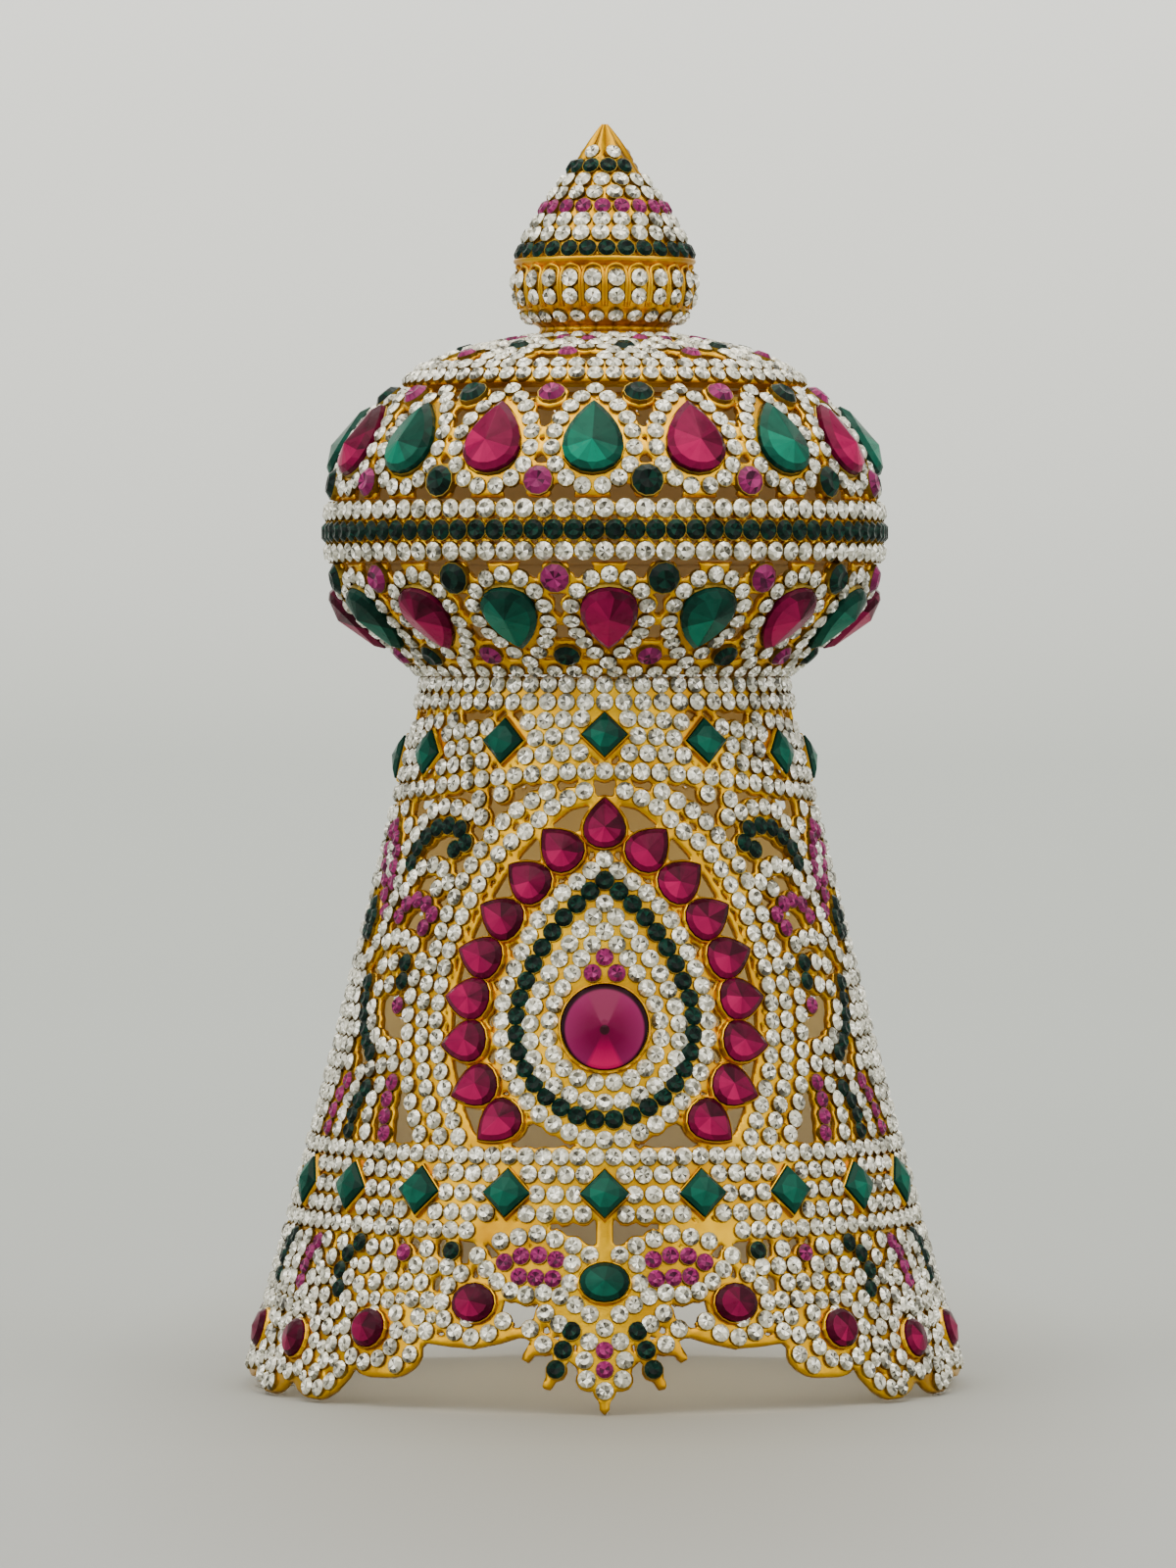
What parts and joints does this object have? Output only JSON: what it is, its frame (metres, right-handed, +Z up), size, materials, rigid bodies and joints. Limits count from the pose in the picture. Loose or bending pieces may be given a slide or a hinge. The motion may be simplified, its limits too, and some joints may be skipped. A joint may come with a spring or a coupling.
{
  "type": "deity crown",
  "caption": "Tall flared gold crown for a temple figure: pierced skirt with medallion and scalloped rim, pumpkin dome of pear stones, cap and pointed finial.",
  "frame": {"origin": "under the crown's own axis, at the height of the surface its rim rests on", "axes": "+Z up through the finial's tip, -Y out of the front medallion, +X to the left of the one who wears it"},
  "size_m": [0.1304, 0.1302, 0.2286],
  "materials": {
    "gold": "polished yellow gold plate",
    "ruby": "faceted, foil-backed ruby pink",
    "emerald": "faceted, foil-backed emerald green",
    "crystal": "faceted, foil-backed clear crystal",
    "magenta": "faceted, foil-backed magenta"
  },
  "bodies": {
    "root": {"skirt_front": "gold", "skirt_back": "gold", "dome_lower_tier": "gold", "equator_band": "gold", "dome_upper_tier": "gold", "dome_cap": "gold", "finial": "gold", "upper_stone_01": "emerald", "upper_stone_02": "ruby", "upper_stone_03": "emerald", "upper_stone_04": "ruby", "upper_stone_05": "emerald", "upper_stone_06": "ruby", "upper_stone_07": "emerald", "upper_stone_08": "ruby", "upper_stone_09": "emerald", "upper_stone_10": "ruby", "upper_stone_11": "emerald", "upper_stone_12": "ruby", "upper_stone_13": "emerald", "upper_stone_14": "ruby", "upper_stone_15": "emerald", "upper_stone_16": "ruby", "lower_stone_01": "ruby", "lower_stone_02": "emerald", "lower_stone_03": "ruby", "lower_stone_04": "emerald", "lower_stone_05": "ruby", "lower_stone_06": "emerald", "lower_stone_07": "ruby", "lower_stone_08": "emerald", "lower_stone_09": "ruby", "lower_stone_10": "emerald", "lower_stone_11": "ruby", "lower_stone_12": "emerald", "lower_stone_13": "ruby", "lower_stone_14": "emerald", "lower_stone_15": "ruby", "lower_stone_16": "emerald", "medallion_stone_front": "ruby", "brow_stone_front": "emerald", "medallion_stone_back": "ruby", "brow_stone_back": "emerald"}
  },
  "joints": []
}
